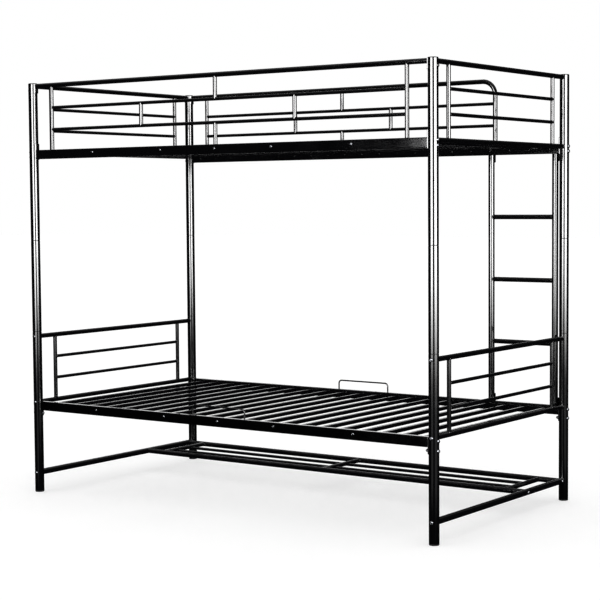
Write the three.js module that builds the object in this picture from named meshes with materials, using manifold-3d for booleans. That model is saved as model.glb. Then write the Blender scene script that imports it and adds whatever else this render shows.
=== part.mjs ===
// Steel bunk bed with a side ladder and an under-bed shelf.
// Millimetres. +X runs along the bed, +Y to the ladder side, +Z up.
// The origin is on the floor at the middle of the bed.
import * as THREE from 'three';
import { mergeVertices } from 'three/addons/utils/BufferGeometryUtils.js';
import Module from 'manifold-3d';

const wasm = await Module();
wasm.setup();

// ---- Driving dimensions ----
const GAP = 0.35; // clearance between two pieces that touch
const OVERCUT = 1; // how far a cutter runs past the face that it opens

// Corner posts: three tube lengths, the middle one with reduced ends.
const POST_X = 980;
const POST_Y = 518.5;
const POST_R = 19;
const POST_WALL = 1.2;
const POST_SIDES = 12;
const BORE_SIDES = 12;
const LOWER_SEAM_Z = 689;
const UPPER_SEAM_Z = 1075;
const BED_TOP_Z = 1738;
const SPIGOT_LENGTH = 55;
const SPIGOT_WALL = 1.2;
const FOOT_HEIGHT = 4;
const FOOT_CHAMFER = 1.6;
const CAP_HEIGHT = 2;
const PLUG_DEPTH = 18;
const PLUG_R = POST_R - POST_WALL - GAP;

// Round tube sizes.
const RAIL_R = 9.5;
const RAIL_WALL = 1.1;
const RAIL_SIDES = 8;
const RAIL_BORE_SIDES = 8;
const UPRIGHT_R = 8;
const UPRIGHT_WALL = 1;
const UPRIGHT_SIDES = 8;
const ROD_R = 6.5;
const ROD_WALL = 1;
const ROD_SIDES = 8;

// End panels: top rail, two rods, bed-level cross rail and two uprights.
const PANEL_UPRIGHT_Y = 411;
const LOWER_PANEL_Z = [667.5, 573.5, 481.5, 386.5];
const UPPER_PANEL_Z = [1726, 1632.5, 1541.5, 1447];

// Side rails: rectangular tube with a curved saddle plate at each end.
const SIDE_RAIL_HEIGHT = 38;
const SIDE_RAIL_WIDTH = 20;
const SIDE_RAIL_WALL = 1.2;
const LOWER_RAIL_Z = 352.5;
const UPPER_RAIL_Z = 1419;
const SADDLE_THICKNESS = 3;
const SADDLE_HALF_WIDTH = 16;
const SADDLE_BOLT_HOLE_DEPTH = 10;
const LOWER_SADDLE_Z = [328, 390.5];
const UPPER_SADDLE_Z = [1417, 1484];
const LOWER_BOLT_Z = [376, 340];
const UPPER_BOLT_Z = [1448, 1428];

// Slatted decks: rectangular tube slats welded between two flat side strips,
// which bolt to the inner faces of the side rails.
const SLAT_COUNT = 21;
const SLAT_PITCH = 91.2;
const SLAT_WIDTH = 16;
const SLAT_HEIGHT = 14;
const SLAT_WALL = 1;
const SLAT_CENTRE_ABOVE_RAIL = 22.5;
const STRIP_END_X = 936;
const STRIP_SHEET = 2.5;
const STRIP_HEIGHT = 26;

// Guard rails of the upper bunk.
const GUARD_UPRIGHT_X = 872;
const FRONT_GUARD_MIDDLE_BAR_X = 379;
const REAR_GUARD_END_X = 663.5;
const REAR_GUARD_BEND_R = 58;
const REAR_GUARD_BAR_X = -104.5;
const REAR_GUARD_MIDDLE_BAR_OFFSET = 254.5;
const GUARD_SADDLE_Z = [1696, 1735];
const BEND_STEPS = 5;

// Ladder between the two rear side rails.
const LADDER_STILE_X = [646, 940];
const LADDER_RUNG_Z = [642, 902, 1162];
const STILE_R = 12.7;
const STILE_WALL = 1.2;
const LADDER_TAB_WIDTH = 26;
const LADDER_TAB_THICKNESS = 3;
const LADDER_TAB_REACH = 30;

// Bottom cross rails and the shelf frame between them.
const BOTTOM_RAIL_Z = 83;
const BOTTOM_RAIL_R = 12.5;
const BOTTOM_RAIL_WALL = 1.2;
const SHELF_TUBE_R = 11;
const SHELF_TUBE_Y = [188, 487];
const SHELF_ROD_Y = [288, 388];
const SHELF_ROD_DROP = 5;
const SHELF_CROSSBAR_X = [-885, 0, 885];

// Wire mattress stops that drop into the lower side rails.
const STOP_LEG_X = 129;
const STOP_WIRE_R = 3;
const STOP_TOP_Z = 430;
const STOP_CORNER_R = 14;
const STOP_HOLE_R = 3.6;
const STOP_SIDES = 8;
const STOP_CORNER_STEPS = 4;

// Bolts.
const BOLT_R = 4;
const BOLT_HOLE_R = 5;
const BOLT_SIDES = 6;
const BOLT_HEAD_R = 7.2;
const BOLT_CROWN_R = 4.4;
const BOLT_HEAD_HEIGHT = 3.8;
const BOLT_REACH = 60;
const CAP_NUT_R = 6.5;
const CAP_NUT_SKIRT = 6;
const CAP_NUT_DOME = 4;
const FRAME_BOLT_REACH = 62;

// ---- Materials ----
const steel = new THREE.MeshStandardMaterial({ color: 0x101113, roughness: 0.3, metalness: 0.35 });
const plastic = new THREE.MeshStandardMaterial({ color: 0x0c0c0d, roughness: 0.6, metalness: 0 });
const zinc = new THREE.MeshStandardMaterial({ color: 0xb9bcc0, roughness: 0.3, metalness: 1 });

// ---- Geometry helpers ----
const UP = new THREE.Vector3(0, 1, 0);
const vec = (x, y, z) => new THREE.Vector3(x, y, z);

function toSolid(geometry) {
  const bare = geometry.index ? geometry.toNonIndexed() : geometry.clone();
  bare.deleteAttribute('normal');
  bare.deleteAttribute('uv');
  const merged = mergeVertices(bare, 1e-4);
  return new wasm.Manifold(new wasm.Mesh({
    numProp: 3,
    vertProperties: new Float32Array(merged.attributes.position.array),
    triVerts: new Uint32Array(merged.index.array),
  }));
}

function toGeometry(solid) {
  const mesh = solid.getMesh();
  const geometry = new THREE.BufferGeometry();
  geometry.setAttribute('position', new THREE.BufferAttribute(new Float32Array(mesh.vertProperties), 3));
  geometry.setIndex(new THREE.BufferAttribute(new Uint32Array(mesh.triVerts), 1));
  geometry.computeVertexNormals();
  return geometry;
}

function joinAll(solids) {
  return solids.reduce((whole, piece) => whole.add(piece));
}

function cutAll(whole, cutters) {
  return cutters.reduce((rest, cutter) => rest.subtract(cutter), whole);
}

// Round bar from one point to another.
function bar(from, to, radius, sides) {
  const axis = to.clone().sub(from);
  const geometry = new THREE.CylinderGeometry(radius, radius, axis.length(), sides);
  geometry.applyQuaternion(new THREE.Quaternion().setFromUnitVectors(UP, axis.clone().normalize()));
  const middle = from.clone().add(to).multiplyScalar(0.5);
  geometry.translate(middle.x, middle.y, middle.z);
  return toSolid(geometry);
}

function block(xs, ys, zs) {
  const geometry = new THREE.BoxGeometry(xs[1] - xs[0], ys[1] - ys[0], zs[1] - zs[0]);
  geometry.translate((xs[0] + xs[1]) / 2, (ys[0] + ys[1]) / 2, (zs[0] + zs[1]) / 2);
  return toSolid(geometry);
}

// Curve through a list of points, one extrusion step per point.
class PointPath extends THREE.Curve {
  constructor(points) {
    super();
    this.points = points;
  }

  getPoint(t, target = new THREE.Vector3()) {
    const place = Math.min(Math.max(t, 0), 1) * (this.points.length - 1);
    const index = Math.min(Math.floor(place), this.points.length - 2);
    return target.lerpVectors(this.points[index], this.points[index + 1], place - index);
  }

  getUtoTmapping(u) {
    return u;
  }
}

function bentBar(points, radius, sides) {
  const section = new THREE.Shape();
  for (let i = 0; i < sides; i += 1) {
    const angle = (2 * Math.PI * i) / sides;
    const move = i === 0 ? 'moveTo' : 'lineTo';
    section[move](radius * Math.cos(angle), radius * Math.sin(angle));
  }
  return toSolid(new THREE.ExtrudeGeometry(section, {
    steps: points.length - 1,
    extrudePath: new PointPath(points),
    bevelEnabled: false,
  }));
}

// Tubes welded between two others: their bores open into those of their neighbours.
function rod(from, to) {
  return {
    outer: bar(from, to, ROD_R, ROD_SIDES),
    bore: bar(from, to, ROD_R - ROD_WALL, ROD_SIDES),
  };
}

function shortBar(from, to) {
  return {
    outer: bar(from, to, UPRIGHT_R, UPRIGHT_SIDES),
    bore: bar(from, to, UPRIGHT_R - UPRIGHT_WALL, RAIL_BORE_SIDES),
  };
}

// Quarter bend in the XZ plane: points from angle a0 to a1 about a centre.
function arcPoints(centre, radius, a0, a1, steps) {
  const points = [];
  for (let i = 0; i <= steps; i += 1) {
    const angle = a0 + ((a1 - a0) * i) / steps;
    points.push(vec(centre.x + radius * Math.cos(angle), centre.y, centre.z + radius * Math.sin(angle)));
  }
  return points;
}

// Room for a post, cut out of what butts against it.
function postRoom(x, y) {
  return bar(vec(x, y, 0), vec(x, y, BED_TOP_Z), POST_R + GAP, POST_SIDES);
}

// Curved plate that hugs the inward side of a post.
function saddle(x, y, zs) {
  const inward = -Math.sign(x);
  const outerR = POST_R + GAP + SADDLE_THICKNESS;
  const shell = bar(vec(x, y, zs[0]), vec(x, y, zs[1]), outerR, POST_SIDES)
    .subtract(postRoom(x, y));
  const near = x + inward * (outerR + OVERCUT);
  const far = x + inward * Math.sqrt(outerR ** 2 - SADDLE_HALF_WIDTH ** 2);
  const xs = [Math.min(near, far), Math.max(near, far)];
  return shell.intersect(block(xs, [y - SADDLE_HALF_WIDTH, y + SADDLE_HALF_WIDTH], [0, BED_TOP_Z]));
}

function boltHole(from, to) {
  return bar(from, to, BOLT_HOLE_R, BOLT_SIDES);
}

// ---- Scene assembly ----
const bed = new THREE.Group();

function place(name, geometry, material, position = vec(0, 0, 0)) {
  const mesh = new THREE.Mesh(geometry, material);
  mesh.name = name;
  mesh.position.copy(position);
  bed.add(mesh);
  return mesh;
}

const CORNERS = [
  { name: 'front_left', x: -POST_X, y: -POST_Y },
  { name: 'front_right', x: POST_X, y: -POST_Y },
  { name: 'rear_left', x: -POST_X, y: POST_Y },
  { name: 'rear_right', x: POST_X, y: POST_Y },
];

// ---- Corner posts, feet and caps ----
function upright(corner, z0, z1, radius, sides) {
  return bar(vec(corner.x, corner.y, z0), vec(corner.x, corner.y, z1), radius, sides);
}

function hollowPost(corner, z0, z1, holes) {
  const tube = upright(corner, z0, z1, POST_R, POST_SIDES);
  const bore = upright(corner, z0 - OVERCUT, z1 + OVERCUT, POST_R - POST_WALL, BORE_SIDES);
  return cutAll(tube, [bore, ...holes]);
}

function crossHoleX(corner, z) {
  return boltHole(vec(corner.x - 2 * POST_R, corner.y, z), vec(corner.x + 2 * POST_R, corner.y, z));
}

function crossHoleY(corner, z) {
  return boltHole(vec(corner.x, corner.y - 2 * POST_R, z), vec(corner.x, corner.y + 2 * POST_R, z));
}

function middlePost(corner) {
  const spigotZ0 = LOWER_SEAM_Z - SPIGOT_LENGTH;
  const spigotZ1 = UPPER_SEAM_Z + SPIGOT_LENGTH;
  const body = upright(corner, LOWER_SEAM_Z, UPPER_SEAM_Z, POST_R, POST_SIDES);
  const spigots = upright(corner, spigotZ0, spigotZ1, PLUG_R, BORE_SIDES);
  const bore = upright(corner, spigotZ0 - OVERCUT, spigotZ1 + OVERCUT, PLUG_R - SPIGOT_WALL, BORE_SIDES);
  return body.add(spigots).subtract(bore);
}

// Turned piece: profile points are [radius, height] from the axis and back to it.
function turned(profile, sides) {
  const geometry = new THREE.LatheGeometry(profile.map(([r, h]) => new THREE.Vector2(r, h)), sides);
  return toSolid(geometry.rotateX(Math.PI / 2));
}

const footFlange = turned([
  [0, 0],
  [POST_R - FOOT_CHAMFER, 0],
  [POST_R, FOOT_CHAMFER],
  [POST_R, FOOT_HEIGHT],
  [0, FOOT_HEIGHT],
], POST_SIDES);
const footPlug = bar(vec(0, 0, FOOT_HEIGHT / 2), vec(0, 0, FOOT_HEIGHT + PLUG_DEPTH), PLUG_R, BORE_SIDES);
const footGeometry = toGeometry(footFlange.add(footPlug));

const capFlange = bar(vec(0, 0, 0), vec(0, 0, CAP_HEIGHT), POST_R, POST_SIDES);
const capPlug = bar(vec(0, 0, -PLUG_DEPTH), vec(0, 0, CAP_HEIGHT / 2), PLUG_R, BORE_SIDES);
const capGeometry = toGeometry(capFlange.add(capPlug));

for (const corner of CORNERS) {
  const lowerHoles = [
    ...LOWER_BOLT_Z.map((z) => crossHoleX(corner, z)),
    crossHoleY(corner, BOTTOM_RAIL_Z),
  ];
  const upperHoles = UPPER_BOLT_Z.map((z) => crossHoleX(corner, z));
  const lowerPost = hollowPost(corner, FOOT_HEIGHT + GAP, LOWER_SEAM_Z - GAP, lowerHoles);
  const upperPost = hollowPost(corner, UPPER_SEAM_Z + GAP, BED_TOP_Z - CAP_HEIGHT - GAP, upperHoles);
  place(`lower_post_${corner.name}`, toGeometry(lowerPost), steel);
  place(`middle_post_${corner.name}`, toGeometry(middlePost(corner)), steel);
  place(`upper_post_${corner.name}`, toGeometry(upperPost), steel);
  place(`foot_${corner.name}`, footGeometry, plastic, vec(corner.x, corner.y, 0));
  place(`post_cap_${corner.name}`, capGeometry, plastic, vec(corner.x, corner.y, BED_TOP_Z - CAP_HEIGHT));
}

// ---- Welded end panels ----
function endPanel(x, levels) {
  const [topZ, upperRodZ, lowerRodZ, crossZ] = levels;
  const ends = [-POST_Y, POST_Y];
  const uprights = [-PANEL_UPRIGHT_Y, PANEL_UPRIGHT_Y];
  const outer = [];
  const bores = [];
  for (const z of [topZ, crossZ]) {
    outer.push(bar(vec(x, ends[0], z), vec(x, ends[1], z), RAIL_R, RAIL_SIDES));
    bores.push(bar(vec(x, ends[0], z), vec(x, ends[1], z), RAIL_R - RAIL_WALL, RAIL_BORE_SIDES));
  }
  for (const y of uprights) {
    outer.push(bar(vec(x, y, crossZ), vec(x, y, topZ), UPRIGHT_R, UPRIGHT_SIDES));
    bores.push(bar(vec(x, y, crossZ), vec(x, y, topZ), UPRIGHT_R - UPRIGHT_WALL, RAIL_BORE_SIDES));
  }
  for (const z of [upperRodZ, lowerRodZ]) {
    const piece = rod(vec(x, uprights[0], z), vec(x, uprights[1], z));
    outer.push(piece.outer);
    bores.push(piece.bore);
  }
  const posts = ends.map((y) => postRoom(x, y));
  return cutAll(joinAll(outer), [...bores, ...posts]);
}

for (const [end, x] of [['left', -POST_X], ['right', POST_X]]) {
  place(`lower_end_panel_${end}`, toGeometry(endPanel(x, LOWER_PANEL_Z)), steel);
  place(`upper_end_panel_${end}`, toGeometry(endPanel(x, UPPER_PANEL_Z)), steel);
}

// ---- Side rails ----
function sideRail(y, z0, saddleZ, boltZ, stopHoles) {
  const z1 = z0 + SIDE_RAIL_HEIGHT;
  const halfWidth = SIDE_RAIL_WIDTH / 2;
  const wall = SIDE_RAIL_WALL;
  const tubeEnd = POST_X - POST_R;
  const boreEnd = tubeEnd - GAP - SADDLE_THICKNESS;
  const holeEnd = boreEnd - SADDLE_BOLT_HOLE_DEPTH;
  const outer = [
    block([-tubeEnd, tubeEnd], [y - halfWidth, y + halfWidth], [z0, z1]),
    saddle(-POST_X, y, saddleZ),
    saddle(POST_X, y, saddleZ),
  ];
  const cutters = [
    block([-boreEnd, boreEnd], [y - halfWidth + wall, y + halfWidth - wall], [z0 + wall, z1 - wall]),
    postRoom(-POST_X, y),
    postRoom(POST_X, y),
  ];
  for (const z of boltZ) {
    cutters.push(boltHole(vec(-POST_X, y, z), vec(-holeEnd, y, z)));
    cutters.push(boltHole(vec(holeEnd, y, z), vec(POST_X, y, z)));
  }
  for (const x of stopHoles) {
    cutters.push(bar(vec(x, y, z1 - wall - OVERCUT), vec(x, y, z1 + OVERCUT), STOP_HOLE_R, STOP_SIDES));
  }
  return cutAll(joinAll(outer), cutters);
}

for (const [side, y] of [['front', -POST_Y], ['rear', POST_Y]]) {
  const lower = sideRail(y, LOWER_RAIL_Z, LOWER_SADDLE_Z, LOWER_BOLT_Z, [-STOP_LEG_X, STOP_LEG_X]);
  const upper = sideRail(y, UPPER_RAIL_Z, UPPER_SADDLE_Z, UPPER_BOLT_Z, []);
  place(`lower_side_rail_${side}`, toGeometry(lower), steel);
  place(`upper_side_rail_${side}`, toGeometry(upper), steel);
}

// ---- Slatted decks ----
function centred(middle, size) {
  return [middle - size / 2, middle + size / 2];
}

function slatDeck(railZ) {
  const edgeY = POST_Y - SIDE_RAIL_WIDTH / 2 - GAP;
  const innerY = edgeY - STRIP_SHEET;
  const slatZ = railZ + SLAT_CENTRE_ABOVE_RAIL;
  const stripXs = [-STRIP_END_X, STRIP_END_X];
  const stripZs = centred(slatZ, STRIP_HEIGHT);
  const outer = [
    block(stripXs, [-edgeY, -innerY], stripZs),
    block(stripXs, [innerY, edgeY], stripZs),
  ];
  const slatEndY = (innerY + edgeY) / 2;
  const boreWidth = SLAT_WIDTH - 2 * SLAT_WALL;
  const boreHeight = SLAT_HEIGHT - 2 * SLAT_WALL;
  const bores = [];
  for (let i = 0; i < SLAT_COUNT; i += 1) {
    const x = (i - (SLAT_COUNT - 1) / 2) * SLAT_PITCH;
    const slat = [-slatEndY, slatEndY];
    const through = [-edgeY - OVERCUT, edgeY + OVERCUT];
    outer.push(block(centred(x, SLAT_WIDTH), slat, centred(slatZ, SLAT_HEIGHT)));
    bores.push(block(centred(x, boreWidth), through, centred(slatZ, boreHeight)));
  }
  return cutAll(joinAll(outer), bores);
}

place('lower_slat_deck', toGeometry(slatDeck(LOWER_RAIL_Z)), steel);
place('upper_slat_deck', toGeometry(slatDeck(UPPER_RAIL_Z)), steel);

// ---- Guard rails ----
const guardFootZ = UPPER_RAIL_Z + SIDE_RAIL_HEIGHT + GAP;
const [guardTopZ, guardUpperRodZ, guardLowerRodZ] = UPPER_PANEL_Z;

// Two long rods, a short bar above and below them and two between them.
function guardInfill(y, leftX, rightX, centreX, middleOffset) {
  const post = (x, z0, z1) => shortBar(vec(x, y, z0), vec(x, y, z1));
  return [
    rod(vec(leftX, y, guardUpperRodZ), vec(rightX, y, guardUpperRodZ)),
    rod(vec(leftX, y, guardLowerRodZ), vec(rightX, y, guardLowerRodZ)),
    post(centreX, guardUpperRodZ, guardTopZ),
    post(centreX, guardFootZ, guardLowerRodZ),
    post(centreX - middleOffset, guardLowerRodZ, guardUpperRodZ),
    post(centreX + middleOffset, guardLowerRodZ, guardUpperRodZ),
  ];
}

function frontGuard() {
  const y = -POST_Y;
  const infill = guardInfill(y, -GUARD_UPRIGHT_X, GUARD_UPRIGHT_X, 0, FRONT_GUARD_MIDDLE_BAR_X);
  const outer = [
    bar(vec(-POST_X, y, guardTopZ), vec(POST_X, y, guardTopZ), RAIL_R, RAIL_SIDES),
    saddle(-POST_X, y, GUARD_SADDLE_Z),
    saddle(POST_X, y, GUARD_SADDLE_Z),
    ...infill.map((piece) => piece.outer),
  ];
  const cutters = [
    bar(vec(-POST_X, y, guardTopZ), vec(POST_X, y, guardTopZ), RAIL_R - RAIL_WALL, RAIL_BORE_SIDES),
    postRoom(-POST_X, y),
    postRoom(POST_X, y),
    ...infill.map((piece) => piece.bore),
  ];
  for (const x of [-GUARD_UPRIGHT_X, GUARD_UPRIGHT_X]) {
    outer.push(bar(vec(x, y, guardFootZ), vec(x, y, guardTopZ), UPRIGHT_R, UPRIGHT_SIDES));
    cutters.push(bar(vec(x, y, guardFootZ - OVERCUT), vec(x, y, guardTopZ),
      UPRIGHT_R - UPRIGHT_WALL, RAIL_BORE_SIDES));
  }
  return cutAll(joinAll(outer), cutters);
}

function rearGuard() {
  const y = POST_Y;
  const bendCentre = vec(REAR_GUARD_END_X - REAR_GUARD_BEND_R, y, guardTopZ - REAR_GUARD_BEND_R);
  const bend = arcPoints(bendCentre, REAR_GUARD_BEND_R, Math.PI / 2, 0, BEND_STEPS);
  const path = (footZ) => [vec(-POST_X, y, guardTopZ), ...bend, vec(REAR_GUARD_END_X, y, footZ)];
  const infill = guardInfill(y, -GUARD_UPRIGHT_X, REAR_GUARD_END_X, REAR_GUARD_BAR_X,
    REAR_GUARD_MIDDLE_BAR_OFFSET);
  const outer = [
    bentBar(path(guardFootZ), RAIL_R, RAIL_SIDES),
    saddle(-POST_X, y, GUARD_SADDLE_Z),
    bar(vec(-GUARD_UPRIGHT_X, y, guardFootZ), vec(-GUARD_UPRIGHT_X, y, guardTopZ), UPRIGHT_R, UPRIGHT_SIDES),
    ...infill.map((piece) => piece.outer),
  ];
  const cutters = [
    bentBar(path(guardFootZ - OVERCUT), RAIL_R - RAIL_WALL, RAIL_BORE_SIDES),
    bar(vec(-GUARD_UPRIGHT_X, y, guardFootZ - OVERCUT), vec(-GUARD_UPRIGHT_X, y, guardTopZ),
      UPRIGHT_R - UPRIGHT_WALL, RAIL_BORE_SIDES),
    postRoom(-POST_X, y),
    ...infill.map((piece) => piece.bore),
  ];
  return cutAll(joinAll(outer), cutters);
}

place('front_guard_rail', toGeometry(frontGuard()), steel);
place('rear_guard_rail', toGeometry(rearGuard()), steel);

// ---- Ladder ----
function ladder() {
  const y = POST_Y;
  const z0 = LOWER_RAIL_Z + SIDE_RAIL_HEIGHT + GAP;
  const z1 = UPPER_RAIL_Z - GAP;
  const tabY0 = POST_Y + SIDE_RAIL_WIDTH / 2 + GAP;
  const outer = [];
  const bores = [];
  for (const x of LADDER_STILE_X) {
    const tabXs = [x - LADDER_TAB_WIDTH / 2, x + LADDER_TAB_WIDTH / 2];
    const tabYs = [tabY0, tabY0 + LADDER_TAB_THICKNESS];
    outer.push(bar(vec(x, y, z0), vec(x, y, z1), STILE_R, RAIL_SIDES));
    outer.push(block(tabXs, tabYs, [z0 - LADDER_TAB_REACH, z0 + LADDER_TAB_REACH]));
    outer.push(block(tabXs, tabYs, [z1 - LADDER_TAB_REACH, z1 + LADDER_TAB_REACH]));
    bores.push(bar(vec(x, y, z0 - OVERCUT), vec(x, y, z1 + OVERCUT), STILE_R - STILE_WALL, RAIL_BORE_SIDES));
  }
  for (const z of LADDER_RUNG_Z) {
    const ends = LADDER_STILE_X.map((x) => vec(x, y, z));
    outer.push(bar(...ends, RAIL_R, RAIL_SIDES));
    bores.push(bar(...ends, RAIL_R - RAIL_WALL, RAIL_BORE_SIDES));
  }
  return cutAll(joinAll(outer), bores);
}

place('ladder', toGeometry(ladder()), steel);

// ---- Bottom cross rails and shelf ----
function bottomRail(x) {
  const z = BOTTOM_RAIL_Z;
  const outer = bar(vec(x, -POST_Y, z), vec(x, POST_Y, z), BOTTOM_RAIL_R, RAIL_SIDES);
  const bore = bar(vec(x, -POST_Y, z), vec(x, POST_Y, z), BOTTOM_RAIL_R - BOTTOM_RAIL_WALL, RAIL_BORE_SIDES);
  const posts = [-POST_Y, POST_Y].map((y) => postRoom(x, y));
  return cutAll(outer, [bore, ...posts]);
}

function shelfFrame() {
  const z = BOTTOM_RAIL_Z;
  const rodZ = z - SHELF_ROD_DROP;
  const [frontY, rearY] = SHELF_TUBE_Y;
  const [firstX, , lastX] = SHELF_CROSSBAR_X;
  const outer = [];
  const cutters = [];
  for (const y of SHELF_TUBE_Y) {
    outer.push(bar(vec(-POST_X, y, z), vec(POST_X, y, z), SHELF_TUBE_R, RAIL_SIDES));
    cutters.push(bar(vec(-POST_X, y, z), vec(POST_X, y, z), SHELF_TUBE_R - RAIL_WALL, RAIL_BORE_SIDES));
  }
  for (const x of SHELF_CROSSBAR_X) {
    outer.push(bar(vec(x, frontY, z), vec(x, rearY, z), RAIL_R, RAIL_SIDES));
    cutters.push(bar(vec(x, frontY, z), vec(x, rearY, z), RAIL_R - RAIL_WALL, RAIL_BORE_SIDES));
  }
  for (const y of SHELF_ROD_Y) {
    const piece = rod(vec(firstX, y, rodZ), vec(lastX, y, rodZ));
    outer.push(piece.outer);
    cutters.push(piece.bore);
  }
  for (const x of [-POST_X, POST_X]) {
    cutters.push(bar(vec(x, -POST_Y, z), vec(x, POST_Y, z), BOTTOM_RAIL_R + GAP, RAIL_SIDES));
  }
  return cutAll(joinAll(outer), cutters);
}

place('bottom_cross_rail_left', toGeometry(bottomRail(-POST_X)), steel);
place('bottom_cross_rail_right', toGeometry(bottomRail(POST_X)), steel);
place('under_bed_shelf', toGeometry(shelfFrame()), steel);

// ---- Mattress stops ----
function mattressStop(y) {
  const cornerX = STOP_LEG_X - STOP_CORNER_R;
  const cornerZ = STOP_TOP_Z - STOP_CORNER_R;
  const footZ = LOWER_RAIL_Z + SIDE_RAIL_WALL + GAP;
  const path = [
    vec(-STOP_LEG_X, y, footZ),
    ...arcPoints(vec(-cornerX, y, cornerZ), STOP_CORNER_R, Math.PI, Math.PI / 2, STOP_CORNER_STEPS),
    ...arcPoints(vec(cornerX, y, cornerZ), STOP_CORNER_R, Math.PI / 2, 0, STOP_CORNER_STEPS),
    vec(STOP_LEG_X, y, footZ),
  ];
  return bentBar(path, STOP_WIRE_R, STOP_SIDES);
}

place('mattress_stop_front', toGeometry(mattressStop(-POST_Y)), steel);
place('mattress_stop_rear', toGeometry(mattressStop(POST_Y)), steel);

// ---- Bolts ----
// Turned bolts stand head up on the Z axis, with the underside of the head at height 0.
const headProfile = [
  [BOLT_HEAD_R, 0],
  [BOLT_CROWN_R, BOLT_HEAD_HEIGHT],
  [0, BOLT_HEAD_HEIGHT],
];

function plainBolt(reach) {
  return toGeometry(turned([[0, -reach], [BOLT_R, -reach], [BOLT_R, 0], ...headProfile], BOLT_SIDES));
}

// Through bolt with its domed cap nut run up against the inner plate.
function cappedBolt(grip) {
  const profile = [
    [0, -grip - CAP_NUT_SKIRT - CAP_NUT_DOME],
    [CAP_NUT_R, -grip - CAP_NUT_SKIRT],
    [CAP_NUT_R, -grip],
    [BOLT_R, -grip],
    [BOLT_R, 0],
    ...headProfile,
  ];
  return toGeometry(turned(profile, BOLT_SIDES));
}

const headStandOff = POST_R + GAP;
const railBoltGeometry = plainBolt(BOLT_REACH);
const cappedBoltGeometry = cappedBolt(2 * headStandOff + SADDLE_THICKNESS + GAP);
const frameBoltGeometry = plainBolt(FRAME_BOLT_REACH);

function placeRailBolt(name, geometry, corner, z) {
  const outward = Math.sign(corner.x);
  const mesh = place(name, geometry, zinc, vec(corner.x + outward * headStandOff, corner.y, z));
  mesh.rotation.y = (outward * Math.PI) / 2;
}

for (const corner of CORNERS) {
  placeRailBolt(`lower_rail_bolt_${corner.name}`, railBoltGeometry, corner, LOWER_BOLT_Z[0]);
  placeRailBolt(`lower_bracket_bolt_${corner.name}`, cappedBoltGeometry, corner, LOWER_BOLT_Z[1]);
  placeRailBolt(`upper_rail_bolt_high_${corner.name}`, railBoltGeometry, corner, UPPER_BOLT_Z[0]);
  placeRailBolt(`upper_rail_bolt_low_${corner.name}`, railBoltGeometry, corner, UPPER_BOLT_Z[1]);
  const outward = Math.sign(corner.y);
  const frameBolt = place(`bottom_rail_bolt_${corner.name}`, frameBoltGeometry, zinc,
    vec(corner.x, corner.y + outward * headStandOff, BOTTOM_RAIL_Z));
  frameBolt.rotation.x = (-outward * Math.PI) / 2;
}

export default bed;
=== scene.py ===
"""Black steel bunk bed with a ladder: the visual model around the CAD frame."""
import math
import bmesh
import bpy
from mathutils import Matrix, Vector

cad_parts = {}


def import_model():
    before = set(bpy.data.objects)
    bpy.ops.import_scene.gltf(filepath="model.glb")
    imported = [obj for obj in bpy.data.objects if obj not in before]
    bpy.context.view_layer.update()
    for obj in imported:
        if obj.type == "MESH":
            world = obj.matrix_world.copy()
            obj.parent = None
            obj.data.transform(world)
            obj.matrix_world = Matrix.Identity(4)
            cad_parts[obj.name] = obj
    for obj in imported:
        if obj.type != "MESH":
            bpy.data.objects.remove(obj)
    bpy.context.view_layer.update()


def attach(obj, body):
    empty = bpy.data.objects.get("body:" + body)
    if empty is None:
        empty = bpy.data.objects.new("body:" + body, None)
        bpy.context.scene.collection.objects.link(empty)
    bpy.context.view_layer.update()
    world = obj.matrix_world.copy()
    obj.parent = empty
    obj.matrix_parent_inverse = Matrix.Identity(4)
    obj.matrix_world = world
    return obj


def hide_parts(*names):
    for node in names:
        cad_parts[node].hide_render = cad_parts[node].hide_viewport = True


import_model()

# ---- Dimensions in millimetres, as in the CAD ----
MM = 0.001
GAP = 0.35  # clearance between two pieces that touch
POST_X, POST_Y, POST_R, POST_WALL = 980, 518.5, 19, 1.2
LOWER_SEAM_Z, UPPER_SEAM_Z, BED_TOP_Z = 689, 1075, 1738
FOOT_HEIGHT, CAP_HEIGHT = 4, 2
PLUG_R = POST_R - POST_WALL - GAP  # anything that fits inside a post
RAIL_R, UPRIGHT_R, ROD_R = 9.5, 8, 6.5
PANEL_UPRIGHT_Y = 411
LOWER_PANEL_Z = (667.5, 573.5, 481.5, 386.5)  # top rail, two rods, cross rail
UPPER_PANEL_Z = (1726, 1632.5, 1541.5, 1447)
SIDE_RAIL_HEIGHT, SIDE_RAIL_WIDTH, SIDE_RAIL_WALL = 38, 20, 1.2
LOWER_RAIL_Z, UPPER_RAIL_Z = 352.5, 1419  # undersides of the side rails
SADDLE_THICKNESS, SADDLE_HALF_WIDTH = 3, 16
LOWER_SADDLE_Z, UPPER_SADDLE_Z, GUARD_SADDLE_Z = (328, 390.5), (1417, 1484), (1696, 1735)
LOWER_BOLT_Z, UPPER_BOLT_Z, GUARD_BOLT_Z = (376, 340), (1448, 1428), 1708
SLAT_COUNT, SLAT_PITCH = 21, 91.2
SLAT_WIDTH, SLAT_HEIGHT, SLAT_ABOVE_RAIL = 16, 14, 22.5
STRIP_END_X, STRIP_SHEET, STRIP_HEIGHT = 936, 2.5, 26
GUARD_UPRIGHT_X, FRONT_BAR_X = 872, 379
REAR_END_X, REAR_BEND_R, REAR_BAR_X, REAR_BAR_OFFSET = 663.5, 58, -104.5, 254.5
STILE_X, RUNG_Z, STILE_R = (646, 940), (642, 902, 1162), 12.7
TAB_WIDTH, TAB_THICKNESS, TAB_REACH = 26, 3, 30
BOTTOM_RAIL_Z, BOTTOM_RAIL_R = 83, 12.5
SHELF_TUBE_R, SHELF_TUBE_Y = 11, (188, 487)
SHELF_ROD_Y, SHELF_ROD_DROP, SHELF_CROSSBAR_X = (288, 388), 5, (-885, 0, 885)
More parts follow.
